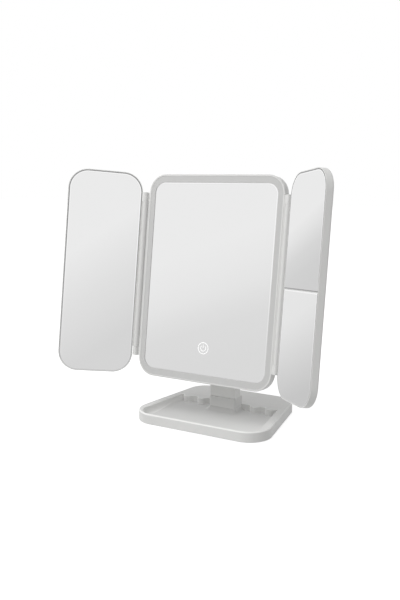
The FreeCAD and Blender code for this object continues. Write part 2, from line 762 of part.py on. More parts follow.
def make_front_frame():
    """The outer rim of the head, with the four end knuckles of the wing hinges."""
    body = new_body("front_frame")
    block = new_sketch(body, "block", height="0 - frame_depth")
    rounded_rectangle(block, "panel_width", "panel_height", "panel_corner_radius")
    pad(body, block, "frame_depth")
    fillet(body, "rim_edge", flat_at(0), "PartDesign::Chamfer")
    for side in (-1, 1):
        for end in (-1, 1):
            name = "knuckle_%d%d" % (side + 1, end + 1)
            x = "%d * (%s)" % (side, AXIS_X)
            inner = "%d * (panel_width / 2 - rim_width / 2)" % side
            add_knuckle(body, name, x, "end_knuckle", "%d * (knuckle_span - end_knuckle) / 2" % end, inner, x)
    opening = new_sketch(body, "opening")
    rounded_rectangle(opening, FRAME_INNER_WIDTH, FRAME_INNER_HEIGHT, FRAME_INNER_RADIUS)
    pocket(body, opening, "frame_depth")
    for side in (-1, 1):
        bore = new_sketch(body, "bore_%d" % (side + 1), role="XZ_Plane")
        circle(bore, "hinge_pin_radius", across="%d * (%s)" % (side, AXIS_X), along="hinge_front")
        pocket(body, bore, "knuckle_span + 2", middle=True)
    return finish(body, HEAD)


def make_light_diffuser():
    """The frosted ring that the light comes through, between the rim and the mirror."""
    body = new_body("light_diffuser")
    ring = new_sketch(body, "ring", height=GLASS_BACK)
    rounded_rectangle(ring, FRAME_INNER_WIDTH + " - 2 * fit_gap", FRAME_INNER_HEIGHT + " - 2 * fit_gap",
                      FRAME_INNER_RADIUS + " - fit_gap", "o")
    rounded_rectangle(ring, "glass_width + 2 * fit_gap", "glass_height + 2 * fit_gap",
                      "glass_corner_radius + fit_gap", "i")
    pad(body, ring, "glass_thickness")
    return finish(body, HEAD)


def make_main_mirror():
    """The middle mirror, with its bevelled edge."""
    body = new_body("main_mirror")
    glass = new_sketch(body, "glass", height=GLASS_BACK)
    rounded_rectangle(glass, "glass_width", "glass_height", "glass_corner_radius")
    pad(body, glass, "glass_thickness")
    fillet(body, "glass_bevel", flat_at(size(FACE)), "PartDesign::Chamfer")
    return finish(body, HEAD)


def make_mirror_carrier():
    """The plate behind the mirror and the diffuser, on four screw bosses."""
    body = new_body("mirror_carrier")
    plate = new_sketch(body, "plate", height=CARRIER_BACK)
    rounded_rectangle(plate, "glass_width + 2 * carrier_overlap", "glass_height + 2 * carrier_overlap",
                      "glass_corner_radius + carrier_overlap")
    pad(body, plate, "carrier_thickness")
    for index, (x, y) in enumerate(BOSS_PLACES):
        boss = new_sketch(body, "boss_%d" % index, height=COVER_FLOOR)
        circle(boss, "boss_radius", "boss", x, y)
        circle(boss, "screw_radius", "hole", x, y)
        pad(body, boss, "(%s) - (%s)" % (CARRIER_BACK, COVER_FLOOR))
    window = new_sketch(body, "touch_window", height=GLASS_BACK, along="sign_v")
    width = "touch_pad_width + 2 * touch_pad_clearance"
    rectangle(window, width, width)
    pocket(body, window, "carrier_thickness")
    return finish(body, HEAD)


def make_touch_sensor():
    """The touch sensor pad, stuck to the back of the mirror behind its sign."""
    body = new_body("touch_sensor")
    square = new_sketch(body, "square", height=GLASS_BACK, along="sign_v")
    rectangle(square, "touch_pad_width", "touch_pad_width")
    pad(body, square, "board_thickness", reverse=True)
    return finish(body, HEAD)


def make_rear_cover():
    """The back of the head: a pan, the power housing and the two ears of the tilt joint."""
    body = new_body("rear_cover")
    pan = new_sketch(body, "pan", height="0 - frame_depth")
    rounded_rectangle(pan, "panel_width", "panel_height", "panel_corner_radius")
    pad(body, pan, "panel_depth - frame_depth", reverse=True)
    fillet(body, "cover_edge_radius", flat_at(-size("panel_depth")))
    housing = new_sketch(body, "housing", height="0 - panel_depth + 1", along="tilt_v")
    rounded_rectangle(housing, "housing_width", "housing_height", "housing_radius")
    pad(body, housing, "housing_depth + 1", reverse=True)
    fillet(body, "housing_edge", flat_at(size(HOUSING_BACK)), "PartDesign::Chamfer")
    for side in (-1, 1):
        ear = new_sketch(body, "ear_%d" % (side + 1), role="YZ_Plane",
                         height="%d * (%s + %s) / 2" % (side, EAR_IN, EAR_OUT))
        y, z, r = size("tilt_v"), -size("tilt_back"), size("barrel_radius")
        root = size(HOUSING_BACK + " + ear_root")
        spread = size("ear_spread")
        outline(ear, [Part.Arc(Vector(y - r, z, 0), Vector(y, z - r, 0), Vector(y + r, z, 0)),
                      Part.LineSegment(Vector(y + r, z, 0), Vector(y + r + spread, root, 0)),
                      Part.LineSegment(Vector(y + r + spread, root, 0), Vector(y - r - spread, root, 0)),
                      Part.LineSegment(Vector(y - r - spread, root, 0), Vector(y - r, z, 0))])
        pad(body, ear, "ear_thickness", middle=True)
    well = new_sketch(body, "well", height="0 - frame_depth")
    rounded_rectangle(well, FRAME_INNER_WIDTH, FRAME_INNER_HEIGHT, FRAME_INNER_RADIUS)
    pocket(body, well, "panel_depth - frame_depth - cover_wall")
    power = new_sketch(body, "power_well", height=COVER_FLOOR, along="tilt_v")
    rounded_rectangle(power, "housing_width - 2 * cover_wall", "housing_height - 2 * cover_wall",
                      "housing_radius - cover_wall")
    pocket(body, power, "housing_depth")
    for side in (-1, 1):
        rail = new_sketch(body, "rail_%d" % (side + 1), height=HOUSING_FLOOR, along="tilt_v",
                          across="control_x + %d * (control_width - rail_width) / 2" % side)
        rectangle(rail, "rail_width", "control_height")
        pad(body, rail, "rail_height")
    for index, (x, y) in enumerate(BOSS_PLACES):
        hole = new_sketch(body, "hole_%d" % index, height=COVER_FLOOR)
        circle(hole, "screw_radius", across=x, along=y)
        pocket(body, hole, "cover_wall")
    slot = new_sketch(body, "usb_slot", role="YZ_Plane", height="housing_width / 2 + 1", across="tilt_v",
                      along=BOARD_BACK + " + board_thickness + usb_height / 2")
    rectangle(slot, "usb_width + 2 * fit_gap", "usb_height + 2 * fit_gap")
    pocket(body, slot, "cover_wall + 2")
    bore = new_sketch(body, "pin_bore", role="YZ_Plane")
    circle(bore, "pin_radius", across="tilt_v", along="0 - tilt_back")
    pocket(body, bore, "2 * (%s) + 2" % EAR_OUT, middle=True)
    return finish(body, HEAD)


def make_cover_screws():
    """The screws through the rear cover into the bosses of the carrier."""
    screws = []
    for index, (x, y) in enumerate(BOSS_PLACES):
        place = HEAD.multVec(Vector(size(x), size(y), -size("panel_depth")))
        screws.append(cylinder("cover_screw_%d" % index, "screw_radius", "cover_screw_length", place,
                               HEAD.Rotation.multVec(Vector(0, 0, 1))))
    return finish(group("cover_screws", screws))


def ring_places():
    """Places and turns along the middle of the light board, one pitch apart."""
    width, height = size("panel_width - 2 * board_inset"), size("panel_height - 2 * board_inset")
    radius = size("panel_corner_radius - board_inset")
    sides = [width - 2 * radius, height - 2 * radius] * 2
    arc = radius * math.pi / 2
    total = sum(sides) + 4 * arc
    count = round(total / size("led_pitch"))
    places = []
    for index in range(count):
        along = total * (index + 0.5) / count
        corner = Vector(radius - width / 2, -height / 2, 0)
        heading = 0.0
        for side in sides:
            ahead = Rotation(Vector(0, 0, 1), math.degrees(heading))
            if along <= side:
                places.append((corner + ahead.multVec(Vector(along, 0, 0)), heading))
                break
            along -= side
            corner = corner + ahead.multVec(Vector(side, 0, 0))
            if along <= arc:
                turn = along / radius
                step = Vector(radius * math.sin(turn), radius * (1 - math.cos(turn)), 0)
                places.append((corner + ahead.multVec(step), heading + turn))
                break
            along -= arc
            corner = corner + ahead.multVec(Vector(radius, radius, 0))
            heading += math.pi / 2
    return places


def make_led_board():
    """The ring of circuit board under the diffuser."""
    body = new_body("led_board")
    ring = new_sketch(body, "ring", height=COVER_FLOOR)
    for tag, sign in (("o", "+"), ("i", "-")):
        rounded_rectangle(ring, "panel_width - 2 * board_inset %s board_width" % sign,
                          "panel_height - 2 * board_inset %s board_width" % sign,
                          "panel_corner_radius - board_inset %s board_width / 2" % sign, tag)
    pad(body, ring, "board_thickness")
    return finish(body, HEAD)


def make_leds():
    """The light-emitting diodes on the ring, all alike."""
    width, depth, height = size("led_width"), size("led_depth"), size("led_height")
    corner = Vector(-width / 2, -depth / 2, size(COVER_FLOOR + " + board_thickness"))
    chip = Part.makeBox(width, depth, height, corner)
    chips = []
    for place, heading in ring_places():
        turned = chip.copy()
        turned.Placement = Placement(place, Rotation(Vector(0, 0, 1), math.degrees(heading)))
        chips.append(turned)
    leds = doc.addObject("Part::Feature", "leds")
    leds.Label = "leds"
    leds.Shape = Part.makeCompound(chips)
    return finish(leds, HEAD)


def make_control_board():
    """The control board with its charging and dimming chips."""
    body = new_body("control_board")
    board = new_sketch(body, "board", height=BOARD_BACK, across="control_x", along="tilt_v")
    rectangle(board, "control_width", "control_height")
    pad(body, board, "board_thickness")
    for index in (-1, 0, 1):
        chip = new_sketch(body, "chip_%d" % (index + 1), height=BOARD_BACK + " + board_thickness",
                          across="control_x - chip_width / 2", along="tilt_v + %d * chip_pitch" % index)
        rectangle(chip, "chip_width", "chip_width")
        pad(body, chip, "board_thickness")
    return finish(body, HEAD)


def make_usb_socket():
    """The charging socket's metal shell, its mouth in the side of the power housing."""
    body = new_body("usb_socket")
    shell = new_sketch(body, "shell", role="YZ_Plane", height="housing_width / 2 - usb_set_back",
                       across="tilt_v", along=BOARD_BACK + " + board_thickness + usb_height / 2")
    rounded_rectangle(shell, "usb_width", "usb_height", "usb_corner_radius", "o")
    rounded_rectangle(shell, "usb_width - 2 * usb_wall", "usb_height - 2 * usb_wall",
                      "usb_corner_radius - usb_wall", "i")
    pad(body, shell, "usb_depth", reverse=True)
    return finish(body, HEAD)


def make_battery_cell():
    """The flat rechargeable cell in the power housing."""
    body = new_body("battery_cell")
    cell = new_sketch(body, "cell", height=HOUSING_FLOOR, across="0 - cell_x", along="tilt_v")
    rounded_rectangle(cell, "cell_width", "cell_height", "cell_corner_radius")
    pad(body, cell, "cell_thickness")
    return finish(body, HEAD)


# ---------------------------------------------------------------- wings

def wing_middle(side):
    """Where a wing's middle line lies in the wing's frame, as an expression."""
    return "%d * (wing_edge + (%s) / 2)" % (side, WING_WIDTH)


def wing_outline(body, name, side, inset, height="0"):
    """The wing's rounded outline, drawn in by an inset, on a plane of the wing's frame."""
    sketch = new_sketch(body, name, height=height, across=wing_middle(side))
    rounded_rectangle(sketch, "%s - 2 * (%s)" % (WING_WIDTH, inset), "panel_height - 2 * (%s)" % inset,
                      "wing_corner_radius - (%s)" % inset)
    return sketch


def make_wing_shell(side, label, fold, split):
    """A wing's back shell, with the long knuckle of its hinge, and a bar where two mirrors meet."""
    body = new_body(label)
    block = wing_outline(body, "block", side, "0", "0 - wing_thickness")
    pad(body, block, "wing_thickness")
    fillet(body, "wing_edge_radius", flat_at(-size("wing_thickness")))
    length = "knuckle_span - 2 * end_knuckle - 2 * knuckle_gap"
    add_knuckle(body, "knuckle", "0", length, "0", "0",
                "%d * (wing_edge + wing_rim)" % side)
    seat = wing_outline(body, "seat", side, "wing_rim")
    pocket(body, seat, "wing_glass + wing_backing")
    hollow = wing_outline(body, "hollow", side, "wing_ledge", "0 - wing_glass - wing_backing")
    pocket(body, hollow, "wing_thickness - wing_wall - wing_glass - wing_backing")
    if split:
        bar = new_sketch(body, "bar", height="0 - wing_glass", along="split_v", across=wing_middle(side))
        rectangle(bar, WING_WIDTH + " - wing_rim", "split_bar")
        pad(body, bar, "wing_glass - split_recess")
    for end in (-1, 1):
        bore = new_sketch(body, "bore_%d" % (end + 1), role="XZ_Plane",
                          height="%d * (%s) / 2" % (end, length), along="hinge_front")
        circle(bore, "hinge_pin_radius + running_clearance")
        pocket(body, bore, "hinge_pin_length - end_knuckle + pin_end_room", reverse=end < 0)
    return finish(body, wing_placement(side, fold))


def make_wing_backing(side, label, fold):
    """The board between a wing's mirror and its shell."""
    body = new_body(label)
    board = wing_outline(body, "board", side, "wing_rim + fit_gap", "0 - wing_glass - wing_backing")
    pad(body, board, "wing_backing")
    return finish(body, wing_placement(side, fold))


def make_wing_mirror(side, label, fold, part=0):
    """A wing's mirror: whole, or the part above (1) or below (-1) the bar."""
    body = new_body(label)
    glass = wing_outline(body, "glass", side, "wing_rim + fit_gap", "0 - wing_glass")
    pad(body, glass, "wing_glass")
    if part:
        waste = new_sketch(body, "waste", across=wing_middle(side),
                           along="split_v + %d * (split_bar / 2 + fit_gap - panel_height / 2)" % part)
        rectangle(waste, WING_WIDTH, "panel_height")
        pocket(body, waste, "wing_glass")
    return finish(body, wing_placement(side, fold))


def make_hinge_pins(side, label):
    """The two pins of one wing hinge, pressed into the end knuckles."""
    pins = []
    for end in (-1, 1):
        start = Vector(side * size(AXIS_X), end * size("knuckle_span / 2"), size("hinge_front"))
        pins.append(cylinder("%s_%d" % (label, end + 1), "hinge_pin_radius", "hinge_pin_length",
                             HEAD.multVec(start), HEAD.Rotation.multVec(Vector(0, -end, 0))))
    return finish(group(label, pins))


# ---------------------------------------------------------------- assembly and export

make_base_tray()
make_base_plate()
make_base_pad()
make_ballast()
make_base_screws()
make_neck()
make_neck_cover()
make_neck_screw()
make_tilt_pin()
make_friction_washers()
make_pin_caps()
make_front_frame()
make_light_diffuser()
make_main_mirror()
make_mirror_carrier()
make_touch_sensor()
make_rear_cover()
make_cover_screws()
make_led_board()
make_leds()
make_control_board()
make_usb_socket()
make_battery_cell()
make_wing_shell(-1, "left_wing_shell", "left_fold", False)
make_wing_backing(-1, "left_wing_backing", "left_fold")
make_wing_mirror(-1, "left_wing_mirror", "left_fold")
make_hinge_pins(-1, "left_hinge_pins")
make_wing_shell(1, "right_wing_shell", "right_fold", True)
make_wing_backing(1, "right_wing_backing", "right_fold")
make_wing_mirror(1, "right_upper_mirror", "right_fold", 1)
make_wing_mirror(1, "right_lower_mirror", "right_fold", -1)
make_hinge_pins(1, "right_hinge_pins")
doc.recompute()

for item in doc.Objects:
    if "Invalid" in item.State or "Error" in item.State:
        raise RuntimeError("%s is %s" % (item.Name, item.State))
for part in parts:
    if part.Shape.isNull() or not part.Shape.isValid() or not part.Shape.Solids:
        raise RuntimeError(part.Label + " has no valid solid")
for part in parts:
    part.Shape.exportStep("parts/%s.step" % part.Label)
print(len(parts), "sub-parts written")
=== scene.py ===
import json
import math
from collections import namedtuple
from functools import partial

import bmesh
import bpy
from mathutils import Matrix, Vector


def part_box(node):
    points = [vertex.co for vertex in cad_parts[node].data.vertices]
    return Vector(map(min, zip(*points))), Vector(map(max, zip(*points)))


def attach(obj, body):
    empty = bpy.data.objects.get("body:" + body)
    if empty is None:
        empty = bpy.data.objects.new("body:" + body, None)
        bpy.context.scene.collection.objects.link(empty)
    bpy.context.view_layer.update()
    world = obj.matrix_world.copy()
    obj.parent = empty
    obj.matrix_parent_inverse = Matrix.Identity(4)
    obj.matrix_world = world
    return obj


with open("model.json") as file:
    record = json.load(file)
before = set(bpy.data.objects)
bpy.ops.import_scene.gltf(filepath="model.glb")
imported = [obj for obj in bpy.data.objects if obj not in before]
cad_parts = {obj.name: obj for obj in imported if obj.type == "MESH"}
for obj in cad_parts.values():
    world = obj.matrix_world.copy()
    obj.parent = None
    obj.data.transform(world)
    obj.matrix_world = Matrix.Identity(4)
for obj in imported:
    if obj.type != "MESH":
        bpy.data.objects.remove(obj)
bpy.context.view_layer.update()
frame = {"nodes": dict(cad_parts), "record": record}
scene = bpy.context.scene
nodes = frame["nodes"]

# Sizes and places are in metres, angles in degrees, and colours are linear.
MM = 0.001
HEAD_UP = Vector((0, 0.143493, 0.989651))  # up along the head, which leans back at rest

Panel = namedtuple("Panel", "middle across up front half_width half_height")


# ---------------------------------------------------------------- node helpers

def grey(value):
    return (value, value, value)


def new_material(name):
    """A material whose tree holds only a shader and the output."""
    material = bpy.data.materials.new(name)
    material.use_nodes = True
    tree = material.node_tree
    tree.nodes.clear()
    output = tree.nodes.new("ShaderNodeOutputMaterial")
    shader = tree.nodes.new("ShaderNodeBsdfPrincipled")
    tree.links.new(shader.outputs["BSDF"], output.inputs["Surface"])
    return material, tree, shader


def object_coordinates(tree, scale=(1, 1, 1)):
    """Coordinates in metres on the object, stretched by a scale."""
    place = tree.nodes.new("ShaderNodeTexCoord")
    mapping = tree.nodes.new("ShaderNodeMapping")
    mapping.inputs["Scale"].default_value = scale
    tree.links.new(place.outputs["Object"], mapping.inputs["Vector"])
    return mapping.outputs["Vector"]


def noise(tree, place, scale, detail, roughness=0.5):
    node = tree.nodes.new("ShaderNodeTexNoise")
    node.inputs["Scale"].default_value = scale
    node.inputs["Detail"].default_value = detail
    node.inputs["Roughness"].default_value = roughness
    tree.links.new(place, node.inputs["Vector"])
    return node.outputs["Fac"]


def mixed(tree, factor, first, second, blend="MIX"):
    """First's colour where the factor is zero, second's where it is one. Both are sockets or plain colours."""
    node = tree.nodes.new("ShaderNodeMix")
    node.data_type = "RGBA"
    node.blend_type = blend
    if isinstance(factor, bpy.types.NodeSocket):
        tree.links.new(factor, node.inputs["Factor"])
    else:
        node.inputs["Factor"].default_value = factor
    for side, colour in (("A", first), ("B", second)):
        if isinstance(colour, bpy.types.NodeSocket):
            tree.links.new(colour, node.inputs[side])
        else:
            node.inputs[side].default_value = (*colour, 1)
    return node.outputs["Result"]


def multiplied(tree, first, second):
    return mixed(tree, 1.0, first, second, "MULTIPLY")


def mottled(tree, texture, colour, darkest):
    """The colour, darkened unevenly down to a share of itself."""
    return mixed(tree, texture, tuple(channel * darkest for channel in colour), colour)


def spread(tree, value, low, high, from_low=0.3, from_high=0.7):
    """Maps one range of values to another, by default the middle range of a noise texture."""
    node = tree.nodes.new("ShaderNodeMapRange")
    node.inputs["From Min"].default_value = from_low
    node.inputs["From Max"].default_value = from_high
    node.inputs["To Min"].default_value = low
    node.inputs["To Max"].default_value = high
    tree.links.new(value, node.inputs["Value"])
    return node.outputs["Result"]


def ramp_of(tree, factor, stops):
    """A grey ramp through (position, value) stops."""
    ramp = tree.nodes.new("ShaderNodeValToRGB")
    tree.links.new(factor, ramp.inputs["Fac"])
    elements = ramp.color_ramp.elements
    while len(elements) < len(stops):
        elements.new(0.5)
    for element, (position, value) in zip(elements, stops):
        element.position = position
        element.color = (*grey(value), 1)
    return ramp.outputs["Color"]


def bump(tree, shader, height, strength, distance):
    node = tree.nodes.new("ShaderNodeBump")
    node.inputs["Strength"].default_value = strength
    node.inputs["Distance"].default_value = distance
    tree.links.new(height, node.inputs["Height"])
    tree.links.new(node.outputs["Normal"], shader.inputs["Normal"])


def dot_with(tree, vector, axis):
    node = tree.nodes.new("ShaderNodeVectorMath")
    node.operation = "DOT_PRODUCT"
    tree.links.new(vector, node.inputs[0])
    node.inputs[1].default_value = axis
    return node.outputs["Value"]


def maths(tree, operation, first, second=None):
    """One sum of one or two values, each a socket or a number."""
    node = tree.nodes.new("ShaderNodeMath")
    node.operation = operation
    for index, value in enumerate((first, second)):
        if isinstance(value, (int, float)):
            node.inputs[index].default_value = value
        elif value is not None:
            tree.links.new(value, node.inputs[index])
    return node.outputs["Value"]


# ---------------------------------------------------------------- mirrors

# The mirrors' silver carries a painted reflection that dims it downwards, and a painted highlight line along its
# edge.
PAINTED_REFLECTION_SLANT = -0.27     # how far the mirrors' dimming leans across a panel
HIGHLIGHT_LINE_WIDTH = 1.3 * MM     # the painted highlight line along a mirror's outline
CUT_SHADE = 1.2 * MM     # the dark edge at a straight cut
SILVER_HAZE = 0.992      # the share of its colour that the silver keeps where it is haziest
HIGHLIGHT_GREY = grey(0.98)
HIGHLIGHT_FADE = ((0.0, 0.0), (0.3, 0.35), (0.7, 1.0))                    # from a panel's foot to its top
DARK_EDGE_LEVELS = ((0.02, 0.62), (0.10, 0.42), (0.5, 0.31), (0.85, 0.27))  # the dark edge, from foot to top
CUT_GREY = grey(0.34)


def panel_of(node):
    """A flat panel's front middle, its directions and its half sizes, from its own mesh."""
    mesh = nodes[node].data
    front = max(mesh.polygons, key=lambda face: face.area * (face.normal.y < 0)).normal.normalized()
    across = (-front).cross(HEAD_UP).normalized()

    def reach(axis):
        along = [vertex.co.dot(axis) for vertex in mesh.vertices]
        return min(along), max(along)

    (left, right), (foot, top), (_, face) = reach(across), reach(HEAD_UP), reach(front)
    middle = (left + right) / 2 * across + (foot + top) / 2 * HEAD_UP + face * front
    return Panel(middle, across, HEAD_UP, front, (right - left) / 2, (top - foot) / 2)


def panel_places(tree, panel):
    """Sockets of the place across and up a panel in metres from its middle, whatever its lean and fold."""
    place = object_coordinates(tree)
    return [maths(tree, "SUBTRACT", dot_with(tree, place, axis), panel.middle.dot(axis))
            for axis in (panel.across, panel.up)]


def edge_distances(tree, panel, x, y, corner, cut_end):
    """How far a point is inside the panel's rounded outline and inside its straight cut, in metres."""
    sum_of = partial(maths, tree)
    outwards = sum_of("MULTIPLY", y, -float(cut_end)) if cut_end else sum_of("ABSOLUTE", y)
    beside = sum_of("SUBTRACT", sum_of("ABSOLUTE", x), panel.half_width - corner)
    beyond = sum_of("SUBTRACT", outwards, panel.half_height - corner)
    squares = [sum_of("POWER", sum_of("MAXIMUM", past, 0.0), 2.0) for past in (beside, beyond)]
    around = sum_of("SQRT", sum_of("ADD", *squares))
    flat = sum_of("MINIMUM", sum_of("MAXIMUM", beside, beyond), 0.0)
    inside = sum_of("SUBTRACT", corner, sum_of("ADD", around, flat))
    cut = sum_of("SUBTRACT", panel.half_height, sum_of("MULTIPLY", y, float(cut_end))) if cut_end else None
    return inside, cut


def edge_mask(tree, distance, start, stop):
    """One between two distances from the edge, zero elsewhere."""
    after = maths(tree, "GREATER_THAN", distance, start)
    before = maths(tree, "LESS_THAN", distance, stop)
    return maths(tree, "MULTIPLY", after, before)


def mirror_glass(node, levels, corner, outline=0.0, dark_end=0, bright_end=0):
    """Silvered glass on one panel: even silver with a painted reflection that dims it downwards, and a painted
    highlight line along its edge.

    levels are the painted reflection's greys, from the bottom to the top of the panel. The line follows the
    panel's rounded corners;
    outline is the width of the dark edge line outside it, lighter at the foot and darker at the top. A mirror
    that is cut straight has a dark edge of painted shade at its cut when dark_end is given, and a bright painted
    highlight when bright_end is: 1 when that is its top, -1 when it is its foot."""
    material, tree, shader = new_material("mirror_" + node)
    panel = panel_of(node)
    x, y = panel_places(tree, panel)
    u, v = maths(tree, "DIVIDE", x, panel.half_width), maths(tree, "DIVIDE", y, panel.half_height)
    # Painted reflection: the silver's grey dims towards the panel's foot and leans across it.
    slanted = maths(tree, "ADD", v, maths(tree, "MULTIPLY", u, PAINTED_REFLECTION_SLANT))
    silver_and_painted_reflection = ramp_of(tree, spread(tree, slanted, 0.0, 1.0, -1.0, 1.0), levels)
    haze = noise(tree, object_coordinates(tree), scale=25.0, detail=3.0)
    silver_and_painted_reflection = multiplied(tree, silver_and_painted_reflection, mottled(tree, haze, grey(1), SILVER_HAZE))
    height = spread(tree, v, 0.0, 1.0, -1.0, 1.0)
    # Painted highlight, brightest towards the panel's top.
    painted_highlight = mixed(tree, ramp_of(tree, height, HIGHLIGHT_FADE), silver_and_painted_reflection, HIGHLIGHT_GREY)
    inside, cut = edge_distances(tree, panel, x, y, corner, dark_end or bright_end)
    # The painted highlight line runs along the outline, and along a bright cut too.
    line_from = maths(tree, "SUBTRACT", inside, outline)
    if bright_end:
        line_from = maths(tree, "MINIMUM", line_from, cut)
    colour = mixed(tree, edge_mask(tree, line_from, 0.0, HIGHLIGHT_LINE_WIDTH), silver_and_painted_reflection, painted_highlight)
    if outline:
        # A dark edge line outside the highlight line, lighter at the foot and darker at the top.
        dark_edge = ramp_of(tree, height, DARK_EDGE_LEVELS)
        colour = mixed(tree, edge_mask(tree, inside, -1.0, outline), colour, dark_edge)
    if dark_end:
        colour = mixed(tree, edge_mask(tree, cut, -1.0, CUT_SHADE), colour, CUT_GREY)
    tree.links.new(colour, shader.inputs["Base Color"])
    tree.links.new(spread(tree, haze, 0.03, 0.04), shader.inputs["Roughness"])
    shader.inputs["Metallic"].default_value = 1.0
    return material


# ---------------------------------------------------------------- other finishes

WHITE = (0.70, 0.70, 0.688)
# Painted light: the neck's white is the shell's plastic made lighter.
NECK_WHITE_PAINTED_LIGHT = (0.79, 0.79, 0.775)
SHELL = {"roughness": 0.38, "coat": 0.15}

# The tray's painted light and shade, as factors on its colour, and the places on the tray that they go by.
# Painted shade: the well's floor darkens from its front towards the pockets under the head.
FLOOR_PAINTED_SHADE = ((0.0, 1.0), (0.51, 0.86), (0.77, 0.74), (1.0, 0.745))  # from the well's front to the pockets
FLOOR_SLANT, FLOOR_SLANT_FROM = 0.35, 20 * MM
FLOOR_FRONT, FLOOR_BACK = -74 * MM, 22 * MM
FLOOR_LOW, FLOOR_HIGH = 11.5 * MM, 14.5 * MM                          # the floor's tone fades out between them
WELL_HALF_WIDTH, WELL_BACK = 74.5 * MM, 30 * MM
# Painted light on the steep walls at the back of the well.
SHELF_WALL_PAINTED_LIGHT, SHELF_WALL_FRONT = 1.07, -20 * MM
FOOT_HALF_WIDTH, FOOT_BACK = 23.5 * MM, 4 * MM                        # the foot in front of the pedestal
# Painted shade on the pedestal under the head.
PEDESTAL_PAINTED_SHADE, PEDESTAL_MIDDLE = 0.94, 14.1 * MM
PEDESTAL_HALF_WIDTH, PEDESTAL_HALF_DEPTH = 19.1 * MM, 12.1 * MM
# Painted highlight on the rim's sloped moulded edges.
EDGE_PAINTED_HIGHLIGHT, EDGE_LOW = 1.22, 11.8 * MM
EDGE_STEEPEST, EDGE_FLATTEST = 0.22, 0.96                             # the upward part of an edge's normal
# Painted light on the well's left wall, which faces right.
LEFT_WALL_PAINTED_LIGHT, LEFT_WALL_FROM = 1.28, -45 * MM


def tray_painted_shading(tree):
    """Painted light and shade on the tray: painted shade that deepens the floor towards the pockets and darkens
    the pedestal, painted light on the walls, and a painted highlight on the moulded edges.
    """
    sum_of = partial(maths, tree)
    place = tree.nodes.new("ShaderNodeTexCoord")
    spot, facing = tree.nodes.new("ShaderNodeSeparateXYZ"), tree.nodes.new("ShaderNodeSeparateXYZ")
    tree.links.new(place.outputs["Object"], spot.inputs["Vector"])
    tree.links.new(place.outputs["Normal"], facing.inputs["Vector"])
    x, y, z = (spot.outputs[axis] for axis in "XYZ")
    off_middle = sum_of("ABSOLUTE", x)

    slant = sum_of("MULTIPLY", sum_of("ADD", x, FLOOR_SLANT_FROM), FLOOR_SLANT)
    depth = spread(tree, sum_of("SUBTRACT", y, slant), 0.0, 1.0, FLOOR_FRONT, FLOOR_BACK)
    low = spread(tree, z, 1.0, 0.0, FLOOR_LOW, FLOOR_HIGH)
    inner = sum_of("MULTIPLY", sum_of("LESS_THAN", off_middle, WELL_HALF_WIDTH), sum_of("LESS_THAN", y, WELL_BACK))
    # Painted shade on the well's floor, deepening towards the pockets.
    painted_shading = mixed(tree, sum_of("MULTIPLY", low, inner), grey(1), ramp_of(tree, depth, FLOOR_PAINTED_SHADE))

    off_foot = sum_of("MAXIMUM", sum_of("GREATER_THAN", off_middle, FOOT_HALF_WIDTH),
                      sum_of("GREATER_THAN", y, FOOT_BACK))
    behind = sum_of("MULTIPLY", off_foot, sum_of("GREATER_THAN", y, SHELF_WALL_FRONT))
    steep = spread(tree, facing.outputs["Z"], 1.0, 0.0, 0.2, 0.8)
    shelf_wall = sum_of("MULTIPLY", sum_of("MULTIPLY", inner, behind), steep)
    # Painted light on the steep walls at the back of the well.
    painted_shading = mixed(tree, shelf_wall, painted_shading, grey(SHELF_WALL_PAINTED_LIGHT))

    beside = sum_of("LESS_THAN", off_middle, PEDESTAL_HALF_WIDTH)
    along = sum_of("LESS_THAN", sum_of("ABSOLUTE", sum_of("SUBTRACT", y, PEDESTAL_MIDDLE)), PEDESTAL_HALF_DEPTH)
    # Painted shade on the pedestal under the head.
    painted_shading = mixed(tree, sum_of("MULTIPLY", beside, along), painted_shading, grey(PEDESTAL_PAINTED_SHADE))

    sloped = sum_of("MULTIPLY", sum_of("GREATER_THAN", facing.outputs["Z"], EDGE_STEEPEST),
                    sum_of("LESS_THAN", facing.outputs["Z"], EDGE_FLATTEST))
    edge = sum_of("MULTIPLY", sum_of("GREATER_THAN", z, EDGE_LOW), sloped)
    # Painted highlight on the rim's sloped moulded edges.
    painted_shading = mixed(tree, edge, painted_shading, grey(EDGE_PAINTED_HIGHLIGHT))

    # Painted light on the well's left wall, which faces right.
    left_wall = sum_of("MULTIPLY", sum_of("LESS_THAN", x, LEFT_WALL_FROM),
                       spread(tree, facing.outputs["X"], 0.0, 0.8, 0.0, 0.95))
    return mixed(tree, left_wall, painted_shading, grey(LEFT_WALL_PAINTED_LIGHT))


def moulded_plastic(name, colour, roughness, coat=0.0, painted_shading=None):
    """Moulded plastic: a faint cloudiness, a fine spark-eroded grain and slightly uneven gloss.

    The last argument adds painted light and shade: lighter and darker places laid over the colour."""
    material, tree, shader = new_material(name)
    place = object_coordinates(tree)
    tint = mottled(tree, noise(tree, place, scale=18.0, detail=3.0), colour, 0.975)
    # Painted light and shade laid over the plastic's colour.
    if painted_shading:
        tint = multiplied(tree, tint, painted_shading(tree))
    tree.links.new(tint, shader.inputs["Base Color"])
    patches = noise(tree, place, scale=60.0, detail=5.0, roughness=0.6)
    tree.links.new(spread(tree, patches, roughness - 0.04, roughness + 0.05), shader.inputs["Roughness"])
    bump(tree, shader, noise(tree, place, scale=1800.0, detail=2.0), strength=0.25, distance=0.04 * MM)
    shader.inputs["IOR"].default_value = 1.5
    shader.inputs["Coat Weight"].default_value = coat
    shader.inputs["Coat Roughness"].default_value = 0.15
    return material


